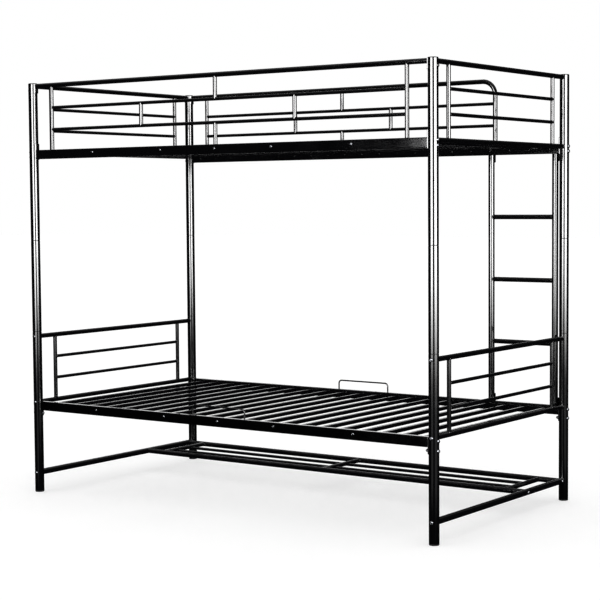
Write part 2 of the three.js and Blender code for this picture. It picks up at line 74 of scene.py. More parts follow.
STOP_LEG_X, STOP_WIRE_R, STOP_TOP_Z, STOP_CORNER_R, STOP_HOLE_R = 129, 3, 430, 14, 3.6
DECK_BOLT_X = (-638.4, -273.6, 0, 273.6, 638.4)
HEAD_STAND_OFF = POST_R + GAP  # from a post's centre to the underside of a bolt head
RAIL_END_CLEARANCE = 0.8
RAIL_END_X = POST_X - POST_R - RAIL_END_CLEARANCE  # where a rail that runs between posts stops
CORNERS = {
    "front_left": (-POST_X, -POST_Y), "front_right": (POST_X, -POST_Y),
    "rear_left": (-POST_X, POST_Y), "rear_right": (POST_X, POST_Y),
}

# ---- Fine shapes, in millimetres ----
TUBE_SIDES, SMALL_SIDES, WIRE_SIDES = 32, 24, 16
POST_RIM, BORE_SHOWN, NECK_LENGTH = 1.1, 12, 10
FOOT_PROFILE = ((2.2, 0), (0.9, 0.5), (0.2, 1.4), (0, 2.2), (0, 3.5), (0.4, FOOT_HEIGHT))  # inset, height
CAP_PROFILE = ((0.2, 0), (0, 0.4), (0.25, 1), (1, 1.5), (2.6, 1.85), (6, 2))  # inset, height
PLUG_LENGTH = 8  # of a foot or cap, inside its post
SADDLE_CHAMFER, SADDLE_STEPS = 0.7, 16
TAB_CORNER, TAB_CHAMFER = 4, 0.6
SIDE_RAIL_CORNER, STRIP_CORNER, SLAT_CORNER = 2.5, 0.7, 1.6
BEND_STEPS, STOP_CORNER_STEPS = 16, 10
HOLE_OVERCUT = 2
COPE_CLEARANCE = 0.1  # between a coped end and a tube that it only touches
WELD_SINK, ROD_SINK, SHELF_ROD_SINK = 0.3, 0.2, 1.5  # of a coped end into a tube that it is welded to
WELD_BEAD, ROD_BEAD, RUNG_BEAD, GUARD_END_BEAD, SLAT_BEAD = 1.5, 1.2, 1.7, 1.4, 1.0
WELD_RIPPLE, WELD_WANDER = (0.1, 1.5 * math.pi), (0.06, 2.7)  # swelling, radians from ring to ring
RAIL_WELD_RIPPLE, SLAT_WELD_RIPPLE = (0.12, 2.1), (0.15, 2.3)
WELD_STEPS, WELD_SIDES, SLAT_WELD_SIDES = 36, 8, 6
RAIL_WELD_MARGIN, RAIL_WELD_STEPS, RAIL_WELD_END = 3, 24, 0.5
BOLT_HEAD_R, BOLT_HEAD_HEIGHT, BOLT_HEAD_SINK = 7.2, 3.8, 1.8
HEAD_RIM_HEIGHT, HEAD_CROWN_R = 0.9, 3.7
HEAD_DOME = ((6.7, 1.9), (5.7, 2.9), (4.6, 3.6))  # radius, height
SOCKET_FLAT, SOCKET_CHAMFER, SOCKET_DEPTH = 2.6, 0.2, 2.2
DECK_HEAD, LADDER_HEAD, SHELF_HEAD = (5.6, 2.8, 0.4), (6.4, 3.0, 0.4), (7.0, 3.4, 2.4)  # radius, height, sink
NUT_FLAT, NUT_SINK, NUT_HEIGHT = 5.7, 0.4, 4.6
NUT_DOME = ((5.2, 5.4), (5.0, 7), (4.2, 8.6), (2.6, 9.6), (0.8, 9.95))  # radius, height
LADDER_BOLT_DROP = 2  # of the upper ladder bolts below the middle of the rail
SHARP_ANGLE, BOLT_SHARP_ANGLE = 32, 28  # degrees

# ---- Materials, light and view ----
NOISE_RANGE, WORN_GAIN = (0.3, 0.7), 3.2
ROOM_GLOW, CEILING_GLOW, BACKDROP_GLOW = 0.01, 0.9, 1.7
BACKDROP_DIRECTION = (-0.58, 0.81, 0.05)
SOFTBOX_GLOW, REAR_SOFTBOX_GLOW, SOFTBOX_REST = 30.0, 2.0, 0.03
OVERHEAD_POWER, OVERHEAD_ANGLE = 1.5, 110
FLOOR_GLOW, FLOOR_HALF, FLOOR_DROP = 0.6, 40.0, 0.0005
CAMERA_AZIMUTH, CAMERA_ELEVATION, CAMERA_ROLL = 0.61883, 0.06205, -0.00745
CAMERA_PLACE, CAMERA_LENS, CAMERA_SENSOR, CAMERA_REACH = (3.9045, -5.4433, 1.2387), 96.6, 36, 100
VIEW_GAMMA = 0.75

X, Y, Z = Vector((1, 0, 0)), Vector((0, 1, 0)), Vector((0, 0, 1))


# ---- Outlines ----
def basis(axis):
    """Two unit vectors across an axis."""
    side = Z if abs(axis.dot(Z)) < 0.9 else X
    u = axis.cross(side).normalized()
    return u, axis.cross(u).normalized()


def circle(sides, radius=1.0):
    return [(radius * math.cos(2 * math.pi * i / sides), radius * math.sin(2 * math.pi * i / sides))
            for i in range(sides)]


def hexagon(sides, flat):
    """A hexagon drawn with as many points as a circle, so that the two can be joined."""
    points = []
    for i in range(sides):
        angle = 2 * math.pi * i / sides
        off = (angle + math.pi / 6) % (math.pi / 3) - math.pi / 6
        reach = flat / math.cos(off)
        points.append((reach * math.cos(angle), reach * math.sin(angle)))
    return points


def rounded_rect(width, height, radius, steps=5):
    points = []
    for k, (sx, sy) in enumerate(((1, 1), (-1, 1), (-1, -1), (1, -1))):
        for i in range(steps + 1):
            angle = math.pi / 2 * (k + i / steps)
            points.append((sx * (width / 2 - radius) + radius * math.cos(angle),
                           sy * (height / 2 - radius) + radius * math.sin(angle)))
    return points


def cope_depth(offset, axis, cope):
    """How far a point of a tube's end is set back to clear the tube that it is coped to."""
    if cope is None:
        return 0.0
    radius, other = cope
    lateral = offset.dot(axis.cross(other).normalized())
    return math.sqrt(max(radius * radius - lateral * lateral, 0.0))


def swell(step, ripple):
    """How much a weld bead swells at one of its rings."""
    amount, turn = ripple
    return amount * math.sin(step * turn)


# ---- Mesh building ----
class Shell:
    """Closed shells, in millimetres, that become one mesh."""

    def __init__(self):
        self.points = []
        self.faces = []

    def loft(self, rings, wrap=False):
        base, count = len(self.points), len(rings[0])
        for ring in rings:
            self.points += ring
        pairs = [(i, i + 1) for i in range(len(rings) - 1)]
        if wrap:
            pairs.append((len(rings) - 1, 0))
        else:
            last = base + (len(rings) - 1) * count
            self.faces.append([base + k for k in reversed(range(count))])
            self.faces.append([last + k for k in range(count)])
        for i, j in pairs:
            a, b = base + i * count, base + j * count
            for k in range(count):
                n = (k + 1) % count
                self.faces.append([a + k, a + n, b + n, b + k])

    def stack(self, origin, axis, sections):
        """Sections are (outline, height) along the axis from the origin."""
        u, v = basis(axis)
        self.loft([[origin + axis * h + u * p + v * q for p, q in outline] for outline, h in sections])

    def turned(self, origin, axis, profile, sides=SMALL_SIDES):
        self.stack(origin, axis, [(circle(sides, r), h) for r, h in profile])

    def tube(self, a, b, radius, sides=SMALL_SIDES, cope_a=None, cope_b=None):
        """A tube whose ends are coped to fit round the tubes that it meets.
        A cope is (radius, axis) of the other tube, whose centre line the end point is on."""
        axis = (b - a).normalized()
        u, v = basis(axis)
        rings = []
        for end, cope, inward in ((a, cope_a, axis), (b, cope_b, -axis)):
            ring = []
            for p, q in circle(sides, radius):
                offset = u * p + v * q
                ring.append(end + offset + inward * cope_depth(offset, axis, cope))
            rings.append(ring)
        self.loft(rings)

    def path(self, points, radius, sides=SMALL_SIDES):
        """A tube along points in one upright plane across Y."""
        rings = []
        for i, point in enumerate(points):
            before, after = points[max(i - 1, 0)], points[min(i + 1, len(points) - 1)]
            tangent = (after - before).normalized()
            across = tangent.cross(Y).normalized()
            rings.append([point + Y * p + across * q for p, q in circle(sides, radius)])
        self.loft(rings)

    def bar(self, outline, centre, axis, up, low, high):
        """A straight bar with that outline, (across, up), from low to high along the axis."""
        across = up.cross(axis)
        self.loft([[centre + axis * t + across * p + up * q for p, q in outline] for t in (low, high)])

    def weld(self, point, axis, radius, cope, bead=WELD_BEAD):
        """A rippled bead where a tube of that radius leaves the tube that it is coped to."""
        u, v = basis(axis)
        line = []
        for i in range(WELD_STEPS):
            angle = 2 * math.pi * i / WELD_STEPS
            offset = (u * math.cos(angle) + v * math.sin(angle)) * radius
            here = point + offset + axis * cope_depth(offset, axis, cope)
            line.append((here, offset.normalized()))
        rings = []
        for i, (here, out) in enumerate(line):
            tangent = (line[(i + 1) % WELD_STEPS][0] - line[i - 1][0]).normalized()
            side = tangent.cross(out).normalized()
            size = bead * (1 + swell(i, WELD_RIPPLE) + swell(i, WELD_WANDER))
            rings.append([here + out * p + side * q for p, q in circle(WELD_SIDES, size)])
        self.loft(rings, wrap=True)

    def joint(self, a, b, radius, cope_a, cope_b, bead=WELD_BEAD, sides=SMALL_SIDES):
        """A coped tube with a weld bead at each end."""
        axis = (b - a).normalized()
        self.tube(a, b, radius, sides, cope_a, cope_b)
        self.weld(a, axis, radius, cope_a, bead)
        self.weld(b, -axis, radius, cope_b, bead)

    def plate(self, rings_of, low, high, chamfer):
        """A plate with chamfered rims: rings_of(inset, z) gives its outline at an inset."""
        self.loft([rings_of(chamfer, low), rings_of(0, low + chamfer),
                   rings_of(0, high - chamfer), rings_of(chamfer, high)])

    def tab(self, outline, origin):
        """A flat tab on a face across Y, with its outer rim softened."""

        def ring(inset, y):
            return [origin + Vector((p - math.copysign(inset, p), y, q - math.copysign(inset, q)))
                    for p, q in outline]

        self.loft([ring(0, 0), ring(0, TAB_THICKNESS - TAB_CHAMFER), ring(TAB_CHAMFER, TAB_THICKNESS)])


def as_mesh(shell, name):
    """A mesh of a shell, in metres, with its faces turned outwards."""
    mesh = bpy.data.meshes.new(name)
    mesh.from_pydata([p * MM for p in shell.points], [], shell.faces)
    work = bmesh.new()
    work.from_mesh(mesh)
    bmesh.ops.recalc_face_normals(work, faces=work.faces)
    work.to_mesh(mesh)
    work.free()
    return mesh


def add_object(name, data):
    added = bpy.data.objects.new(name, data)
    bpy.context.scene.collection.objects.link(added)
    return added


def make(shell, name, material, slot, body="bed_frame", replaces=(), angle=SHARP_ANGLE):
    """A visible piece that rides on a body and stands for the CAD nodes it replaces."""
    mesh = as_mesh(shell, name)
    mesh.polygons.foreach_set("use_smooth", [True] * len(mesh.polygons))
    mesh.set_sharp_from_angle(angle=math.radians(angle))
    mesh.materials.append(material)
    piece = add_object(name, mesh)
    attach(piece, body)
    if replaces:
        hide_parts(*replaces)
    return piece


def cut(piece, shell):
    """Cuts a shell out of a piece."""
    mesh = as_mesh(shell, "cutter")
    tool = add_object("cutter", mesh)
    modifier = piece.modifiers.new("holes", "BOOLEAN")
    modifier.operation = "DIFFERENCE"
    modifier.solver = "EXACT"
    modifier.use_self = True
    modifier.object = tool
    graph = bpy.context.evaluated_depsgraph_get()
    result = bpy.data.meshes.new_from_object(piece.evaluated_get(graph))
    piece.modifiers.clear()
    piece.data = result
    result.set_sharp_from_angle(angle=math.radians(SHARP_ANGLE))
    bpy.data.objects.remove(tool)
    bpy.data.meshes.remove(mesh)


# ---- Materials ----
class Nodes:
    """Short calls for building a material's node tree."""

    def __init__(self, name):
        self.material = bpy.data.materials.new(name)
        self.material.use_nodes = True
        self.tree = self.material.node_tree
        self.shader = self.tree.nodes["Principled BSDF"]
        self.place = self.add("ShaderNodeTexCoord").outputs["Object"]

    def add(self, kind, **values):
        node = self.tree.nodes.new(kind)
        for key, value in values.items():
            setattr(node, key, value)
        return node

    def link(self, source, target):
        self.tree.links.new(source, target)

    def noise(self, scale, detail=3.0, roughness=0.5):
        node = self.add("ShaderNodeTexNoise")
        node.inputs["Scale"].default_value = scale
        node.inputs["Detail"].default_value = detail
        node.inputs["Roughness"].default_value = roughness
        self.link(self.place, node.inputs["Vector"])
        return node.outputs["Fac"]

    def remap(self, value, source, target):
        node = self.add("ShaderNodeMapRange")
        self.link(value, node.inputs["Value"])
        set_range(node, source, target)
        return node.outputs["Result"]

    def ramp(self, value, stops):
        node = self.add("ShaderNodeValToRGB")
        ramp = node.color_ramp
        while len(ramp.elements) < len(stops):
            ramp.elements.new(0.5)
        for element, (position, colour) in zip(ramp.elements, stops):
            element.position = position
            element.color = (*colour, 1)
        self.link(value, node.inputs["Fac"])
        return node.outputs["Color"]

    def bump(self, height, strength, distance, after=None):
        node = self.add("ShaderNodeBump")
        node.inputs["Strength"].default_value = strength
        node.inputs["Distance"].default_value = distance
        self.link(height, node.inputs["Height"])
        if after is not None:
            self.link(after, node.inputs["Normal"])
        return node.outputs["Normal"]

    def drive(self, socket, source):
        """Links a node to one of the shader's sockets."""
        self.link(source, self.shader.inputs[socket])

    def set(self, **values):
        for key, value in values.items():
            self.shader.inputs[key.replace("_", " ")].default_value = value


def set_range(node, source, target):
    """Sets what a Map Range node maps from and to."""
    for key, number in zip(("From Min", "From Max", "To Min", "To Max"), (*source, *target)):
        node.inputs[key].default_value = number


def powder_coat(name, roughness, tint):
    """Gloss black powder coat: an orange-peel surface, slightly uneven gloss, paler on worn edges."""
    n = Nodes(name)
    uneven = n.noise(scale=9.0, detail=4.0, roughness=0.6)
    n.drive("Roughness", n.remap(uneven, NOISE_RANGE, (roughness - 0.03, roughness + 0.05)))
    edge = n.add("ShaderNodeNewGeometry").outputs["Pointiness"]
    worn = n.remap(edge, (0.53, 0.62), (0.0, 1.0))
    paler = tuple(WORN_GAIN * c for c in tint)
    n.drive("Base Color", n.ramp(worn, [(0.0, tint), (1.0, paler)]))
    peel = n.bump(n.noise(scale=260.0, detail=2.0), strength=0.25, distance=0.0001)
    grain = n.bump(n.noise(scale=1400.0, detail=2.0), strength=0.25, distance=0.00002, after=peel)
    n.drive("Normal", grain)
    n.set(IOR=1.5)
    return n.material


def moulded_plastic():
    """Matt black plastic with a fine moulded grain."""
    n = Nodes("moulded_black_plastic")
    n.drive("Roughness", n.remap(n.noise(scale=70.0), NOISE_RANGE, (0.38, 0.52)))
    shade = [(0.3, (0.010, 0.010, 0.011)), (0.7, (0.020, 0.020, 0.021))]
    n.drive("Base Color", n.ramp(n.noise(scale=140.0), shade))
    n.drive("Normal", n.bump(n.noise(scale=3600.0, detail=2.0), strength=0.25, distance=0.0001))
    return n.material


def zinc_plate():
    """Zinc-plated steel with a faint spangle."""
    n = Nodes("bright_zinc_plate")
    n.drive("Roughness", n.remap(n.noise(scale=420.0, detail=4.0), NOISE_RANGE, (0.22, 0.40)))
    shade = [(0.3, (0.06, 0.062, 0.067)), (0.7, (0.12, 0.122, 0.127))]
    n.drive("Base Color", n.ramp(n.noise(scale=260.0, detail=3.0), shade))
    n.drive("Normal", n.bump(n.noise(scale=1800.0, detail=2.0), strength=0.12, distance=0.0001))
    n.set(Metallic=1.0)
    return n.material


def pale_floor():
    """White studio floor with a glow of its own, so that the shadow on it stays faint."""
    n = Nodes("pale_floor")
    shade = [(0.3, (0.40, 0.40, 0.40)), (0.7, (0.42, 0.42, 0.42))]
    n.drive("Base Color", n.ramp(n.noise(scale=1.6), shade))
    n.set(Roughness=0.9, Specular_IOR_Level=0.0)
    n.set(Emission_Color=(1, 1, 1, 1), Emission_Strength=FLOOR_GLOW)
    return n.material


STEEL = powder_coat("gloss_black_powder_coat", 0.08, (0.0022, 0.0022, 0.0027))
WIRE = powder_coat("black_coated_wire", 0.2, (0.003, 0.003, 0.0035))
PLASTIC = moulded_plastic()
ZINC = zinc_plate()


def steel(shell, name, **extra):
    return make(shell, name, STEEL, "black_steel", **extra)


def plastic(shell, name, replaces):
    return make(shell, name, PLASTIC, "black_plastic", replaces=replaces)


def zinc(shell, name, replaces=()):
    return make(shell, name, ZINC, "zinc_steel", replaces=replaces, angle=BOLT_SHARP_ANGLE)


# ---- Posts, feet and caps ----
def post_length(x, y, low, high):
    """One length of post tube with softened rims and open ends."""
    s = Shell()
    bore = POST_R - POST_WALL
    s.turned(Vector((x, y, 0)), Z, [
        (bore, low + BORE_SHOWN), (bore, low), (POST_R - POST_RIM, low), (POST_R, low + POST_RIM),
        (POST_R, high - POST_RIM), (POST_R - POST_RIM, high), (bore, high),
        (bore, high - BORE_SHOWN)], TUBE_SIDES)
    return s


def middle_length(at):
    """The middle length of a post, whose reduced ends plug into the other two."""
    s = Shell()
    s.turned(at, Z, [
        (PLUG_R, LOWER_SEAM_Z - NECK_LENGTH), (PLUG_R, LOWER_SEAM_Z),
        (POST_R - POST_RIM, LOWER_SEAM_Z), (POST_R, LOWER_SEAM_Z + POST_RIM),
        (POST_R, UPPER_SEAM_Z - POST_RIM), (POST_R - POST_RIM, UPPER_SEAM_Z),
        (PLUG_R, UPPER_SEAM_Z), (PLUG_R, UPPER_SEAM_Z + NECK_LENGTH)], TUBE_SIDES)
    return s


def foot_plug(at):
    s = Shell()
    profile = [(POST_R - inset, height) for inset, height in FOOT_PROFILE]
    profile += [(PLUG_R, FOOT_HEIGHT), (PLUG_R, FOOT_HEIGHT + PLUG_LENGTH)]
    s.turned(at, Z, profile, TUBE_SIDES)
    return s


def cap_plug(at):
    s = Shell()
    base = BED_TOP_Z - CAP_HEIGHT
    profile = [(PLUG_R, base - PLUG_LENGTH), (PLUG_R, base)]
    profile += [(POST_R - inset, base + height) for inset, height in CAP_PROFILE]
    s.turned(at, Z, profile, TUBE_SIDES)
    return s


def posts():
    for corner, (x, y) in CORNERS.items():
        at = Vector((x, y, 0))
        lower = post_length(x, y, FOOT_HEIGHT + GAP, LOWER_SEAM_Z - GAP)
        steel(lower, f"lower_post_tube_{corner}", replaces=[f"lower_post_{corner}"])
        upper = post_length(x, y, UPPER_SEAM_Z + GAP, BED_TOP_Z - CAP_HEIGHT - GAP)
        steel(upper, f"upper_post_tube_{corner}", replaces=[f"upper_post_{corner}"])
        steel(middle_length(at), f"middle_post_tube_{corner}", replaces=[f"middle_post_{corner}"])
        plastic(foot_plug(at), f"foot_plug_{corner}", [f"foot_{corner}"])
        plastic(cap_plug(at), f"cap_plug_{corner}", [f"post_cap_{corner}"])


# ---- Saddle plates and end panels ----
def inward_of(x):
    """-1 or 1: the way from a post towards the middle of the bed."""
    return -math.copysign(1, x)


def saddle(shell, x, y, low, high):
    """Curved plate that hugs the inward side of a post."""
    inward = inward_of(x)
    inner, outer = POST_R + GAP, POST_R + GAP + SADDLE_THICKNESS
    span = math.asin(SADDLE_HALF_WIDTH / outer)

    def outline(inset, z):
        half = span - inset / outer
        points = []
        for radius, sign in ((outer - inset, 1), (inner, -1)):
            for i in range(SADDLE_STEPS + 1):
                angle = sign * half * (2 * i / SADDLE_STEPS - 1)
                across, along = radius * math.cos(angle), radius * math.sin(angle)
                points.append(Vector((x + inward * across, y + along, z)))
        return points

    shell.plate(outline, low, high, SADDLE_CHAMFER)


def end_panel(x, levels, name):
    """Welded panel between two posts."""
    top, upper_rod, lower_rod, cross = levels
    s = Shell()

    def at(y, z):
        return Vector((x, y, z))

    post = (POST_R + COPE_CLEARANCE, Z)
    for z in (top, cross):
        s.tube(at(-POST_Y, z), at(POST_Y, z), RAIL_R, TUBE_SIDES, post, post)
    rail = (RAIL_R - WELD_SINK, Y)
    for y in (-PANEL_UPRIGHT_Y, PANEL_UPRIGHT_Y):
        s.joint(at(y, cross), at(y, top), UPRIGHT_R, rail, rail)
    upright = (UPRIGHT_R - WELD_SINK, Z)
    for z in (upper_rod, lower_rod):
        s.joint(at(-PANEL_UPRIGHT_Y, z), at(PANEL_UPRIGHT_Y, z), ROD_R, upright, upright, ROD_BEAD)
    steel(s, f"{name}_tubes", replaces=[name])


# ---- Side rails ----
def side_rail(name, y, z0, saddle_z, stop_holes):
    """Rectangular tube with a saddle plate welded to each end."""
    s = Shell()
    outline = rounded_rect(SIDE_RAIL_WIDTH, SIDE_RAIL_HEIGHT, SIDE_RAIL_CORNER)
    s.bar(outline, Vector((0, y, z0 + SIDE_RAIL_HEIGHT / 2)), X, Z, -RAIL_END_X, RAIL_END_X)
    for x in (-POST_X, POST_X):
        saddle(s, x, y, *saddle_z)
        rail_end_weld(s, x, y, z0)
    piece = steel(s, f"{name}_tube", replaces=[name])
    if stop_holes:
        cutter = Shell()
        low, high = z0 + SIDE_RAIL_WALL, z0 + SIDE_RAIL_HEIGHT + HOLE_OVERCUT
        for x in (-STOP_LEG_X, STOP_LEG_X):
            cutter.turned(Vector((x, y, 0)), Z, [(STOP_HOLE_R, low), (STOP_HOLE_R, high)])
        cut(piece, cutter)


def rail_end_weld(s, x, y, z0):
    """Bead down both sides of a side rail, where it meets its saddle plate."""
    half = SIDE_RAIL_WIDTH / 2
    outer = POST_R + GAP + SADDLE_THICKNESS
    reach = math.sqrt(outer ** 2 - half ** 2)
    low, high = z0 + RAIL_WELD_MARGIN, z0 + SIDE_RAIL_HEIGHT - RAIL_WELD_MARGIN
    for side in (-1, 1):
        rings = []
        for i in range(RAIL_WELD_STEPS + 1):
            z = low + (high - low) * i / RAIL_WELD_STEPS
            taper = RAIL_WELD_END if i in (0, RAIL_WELD_STEPS) else 1
            size = WELD_BEAD * (1 + swell(i, RAIL_WELD_RIPPLE)) * taper
            point = Vector((x + inward_of(x) * reach, y + side * half, z))
            rings.append([point + X * p + Y * q for p, q in circle(WELD_SIDES, size)])
        s.loft(rings)


# ---- Slatted decks ----
def slat_outline():
    return rounded_rect(SLAT_WIDTH, SLAT_HEIGHT, SLAT_CORNER, 3)


def slat_deck(name, rail_z):
    """Slats welded between two flat strips that lie against the side rails."""
    s = Shell()
    edge = POST_Y - SIDE_RAIL_WIDTH / 2 - GAP
    z = rail_z + SLAT_ABOVE_RAIL
    strip = rounded_rect(STRIP_SHEET, STRIP_HEIGHT, STRIP_CORNER, 2)
    reach = edge - STRIP_SHEET / 2
    for side in (-1, 1):
        s.bar(strip, Vector((0, side * reach, z)), X, Z, -STRIP_END_X, STRIP_END_X)
    for i in range(SLAT_COUNT):
        x = (i - (SLAT_COUNT - 1) / 2) * SLAT_PITCH
        s.bar(slat_outline(), Vector((x, 0, z)), Y, Z, -reach, reach)
        for side in (-1, 1):
            slat_weld(s, Vector((x, side * (edge - STRIP_SHEET), z)))
    steel(s, f"{name}_slats", replaces=[name])


def slat_weld(s, centre):
    """Bead round the end of a slat."""
    rings = []
    for i, (p, q) in enumerate(slat_outline()):
        out = Vector((p, 0, q)).normalized()
        size = SLAT_BEAD * (1 + swell(i, SLAT_WELD_RIPPLE))
        point = centre + Vector((p, 0, q))
        rings.append([point + out * a + Y * b for a, b in circle(SLAT_WELD_SIDES, size)])
    s.loft(rings, wrap=True)


# ---- Guard rails ----
def guard_infill(s, y, left, right, centre, offset, right_r):
    """Two long rods, a short bar above and below them and two bars between them. The rods run
    from the left upright to a tube of radius right_r.
    Returns the heights of the guard rail's foot and of its top rail's centre line."""
    top, upper, lower, _ = UPPER_PANEL_Z
    foot = UPPER_RAIL_Z + SIDE_RAIL_HEIGHT + GAP

    def at(x, z):
        return Vector((x, y, z))

    rod = (ROD_R - ROD_SINK, X)
    ends = ((UPRIGHT_R - WELD_SINK, Z), (right_r - WELD_SINK, Z))
    for z in (upper, lower):
        s.joint(at(left, z), at(right, z), ROD_R, *ends, ROD_BEAD)
    s.joint(at(centre, upper), at(centre, top), UPRIGHT_R, rod, (RAIL_R - WELD_SINK, X), ROD_BEAD)
    s.tube(at(centre, lower), at(centre, foot), UPRIGHT_R, cope_a=rod)
    s.weld(at(centre, lower), -Z, UPRIGHT_R, rod, ROD_BEAD)
    for x in (centre - offset, centre + offset):
        s.joint(at(x, lower), at(x, upper), UPRIGHT_R, rod, rod, ROD_BEAD)
    return foot, top


def guard_upright(s, x, y, top, foot):
    """Upright that hangs from a guard rail's top rail and stands on the side rail."""
    rail = (RAIL_R - WELD_SINK, X)
    s.tube(Vector((x, y, top)), Vector((x, y, foot)), UPRIGHT_R, cope_a=rail)
    s.weld(Vector((x, y, top)), -Z, UPRIGHT_R, rail)


def guard_saddle(s, x, y, top):
    """Saddle plate at a guard rail's end, with the weld that holds it."""
    saddle(s, x, y, *GUARD_SADDLE_Z)
    cope = (POST_R + GAP + SADDLE_THICKNESS - WELD_SINK, Z)
    s.weld(Vector((x, y, top)), X * inward_of(x), RAIL_R, cope, GUARD_END_BEAD)


def front_guard():
    s, y = Shell(), -POST_Y
    foot, top = guard_infill(s, y, -GUARD_UPRIGHT_X, GUARD_UPRIGHT_X, 0, FRONT_BAR_X, UPRIGHT_R)
    s.tube(Vector((-RAIL_END_X, y, top)), Vector((RAIL_END_X, y, top)), RAIL_R, TUBE_SIDES)
    for x in (-GUARD_UPRIGHT_X, GUARD_UPRIGHT_X):
        guard_upright(s, x, y, top, foot)
    for x in (-POST_X, POST_X):
        guard_saddle(s, x, y, top)
    steel(s, "front_guard_rail_tubes", replaces=["front_guard_rail"])


def rear_guard():
    """Like the front guard rail, but its top rail bends down to the side rail at the ladder gap."""
    s, y = Shell(), POST_Y
    foot, top = guard_infill(s, y, -GUARD_UPRIGHT_X, REAR_END_X, REAR_BAR_X, REAR_BAR_OFFSET, RAIL_R)
    centre = Vector((REAR_END_X - REAR_BEND_R, y, top - REAR_BEND_R))
    points = [Vector((-RAIL_END_X, y, top))]
    for i in range(BEND_STEPS + 1):
        angle = math.pi / 2 * (1 - i / BEND_STEPS)
        points.append(centre + (X * math.cos(angle) + Z * math.sin(angle)) * REAR_BEND_R)
    points.append(Vector((REAR_END_X, y, foot)))
    s.path(points, RAIL_R, TUBE_SIDES)
    guard_upright(s, -GUARD_UPRIGHT_X, y, top, foot)
    guard_saddle(s, -POST_X, y, top)
    steel(s, "rear_guard_rail_tubes", replaces=["rear_guard_rail"])


# ---- Ladder ----
def ladder():
    s, y = Shell(), POST_Y
    low = LOWER_RAIL_Z + SIDE_RAIL_HEIGHT + GAP
    high = UPPER_RAIL_Z - GAP
    tab_y = POST_Y + SIDE_RAIL_WIDTH / 2 + GAP
    for x in STILE_X:
        s.tube(Vector((x, y, low)), Vector((x, y, high)), STILE_R, TUBE_SIDES)
        for z in (low, high):
            s.tab(rounded_rect(TAB_WIDTH, 2 * TAB_REACH, TAB_CORNER), Vector((x, tab_y, z)))
    stile = (STILE_R - WELD_SINK, Z)
    for z in RUNG_Z:
        a, b = (Vector((x, y, z)) for x in STILE_X)
        s.joint(a, b, RAIL_R, stile, stile, RUNG_BEAD)
    steel(s, "ladder_tubes", replaces=["ladder"])


# ---- Bottom rails and shelf ----
def bottom_rails():
    post = (POST_R + COPE_CLEARANCE, Z)
    for end, x in (("left", -POST_X), ("right", POST_X)):
        s = Shell()
        a, b = Vector((x, -POST_Y, BOTTOM_RAIL_Z)), Vector((x, POST_Y, BOTTOM_RAIL_Z))
        s.tube(a, b, BOTTOM_RAIL_R, TUBE_SIDES, post, post)
        steel(s, f"bottom_cross_tube_{end}", replaces=[f"bottom_cross_rail_{end}"])


def shelf():
    s = Shell()

    def at(x, y, z=BOTTOM_RAIL_Z):
        return Vector((x, y, z))

    cross_rail = (BOTTOM_RAIL_R + COPE_CLEARANCE, Y)
    for y in SHELF_TUBE_Y:
        s.tube(at(-POST_X, y), at(POST_X, y), SHELF_TUBE_R, TUBE_SIDES, cross_rail, cross_rail)
    front, rear = SHELF_TUBE_Y
    long_tube = (SHELF_TUBE_R - WELD_SINK, X)
    for x in SHELF_CROSSBAR_X:
        s.joint(at(x, front), at(x, rear), RAIL_R, long_tube, long_tube)
    crossbar = (RAIL_R - SHELF_ROD_SINK, Y)
    left, _, right = SHELF_CROSSBAR_X
    rod_z = BOTTOM_RAIL_Z - SHELF_ROD_DROP
    for y in SHELF_ROD_Y:
        s.joint(at(left, y, rod_z), at(right, y, rod_z), ROD_R, crossbar, crossbar, ROD_BEAD)
    steel(s, "under_bed_shelf_tubes", replaces=["under_bed_shelf"])


# ---- Mattress stops ----
def mattress_stop(side, y):
    """One bent wire that stands in two holes of a lower side rail."""
    s = Shell()
    foot = LOWER_RAIL_Z + SIDE_RAIL_WALL + GAP
    corner_x, corner_z = STOP_LEG_X - STOP_CORNER_R, STOP_TOP_Z - STOP_CORNER_R
    points = [Vector((-STOP_LEG_X, y, foot))]
    for sign, first in ((-1, math.pi), (1, math.pi / 2)):
        for i in range(STOP_CORNER_STEPS + 1):
            angle = first - math.pi / 2 * i / STOP_CORNER_STEPS
            points.append(Vector((sign * corner_x + STOP_CORNER_R * math.cos(angle), y,
                                  corner_z + STOP_CORNER_R * math.sin(angle))))
    points.append(Vector((STOP_LEG_X, y, foot)))
    s.path(points, STOP_WIRE_R, WIRE_SIDES)
    make(s, f"mattress_stop_wire_{side}", WIRE, "black_steel", body=f"{side}_mattress_stop",
         replaces=[f"mattress_stop_{side}"])


# ---- Bolts ----
def bolt_head(s, origin, axis, radius=BOLT_HEAD_R, height=BOLT_HEAD_HEIGHT, sink=BOLT_HEAD_SINK):
    """Domed socket head, with its underside at the origin and its rim let into what it bears on."""
    k, h = radius / BOLT_HEAD_R, height / BOLT_HEAD_HEIGHT
    rim, crown = circle(SMALL_SIDES, radius), circle(SMALL_SIDES, HEAD_CROWN_R * k)
    socket = hexagon(SMALL_SIDES, SOCKET_FLAT * k)
    dome = [(circle(SMALL_SIDES, r * k), z * h) for r, z in HEAD_DOME]
    s.stack(origin, axis, [(rim, -sink), (rim, HEAD_RIM_HEIGHT * h), *dome, (crown, height),
                           (socket, height - SOCKET_CHAMFER), (socket, height - SOCKET_DEPTH)])


def cap_nut(s, origin, axis):
    """Domed cap nut standing on the origin."""
    body = hexagon(SMALL_SIDES, NUT_FLAT)
    dome = [(circle(SMALL_SIDES, r), z) for r, z in NUT_DOME]
    s.stack(origin, axis, [(body, -NUT_SINK), (body, NUT_HEIGHT), *dome])


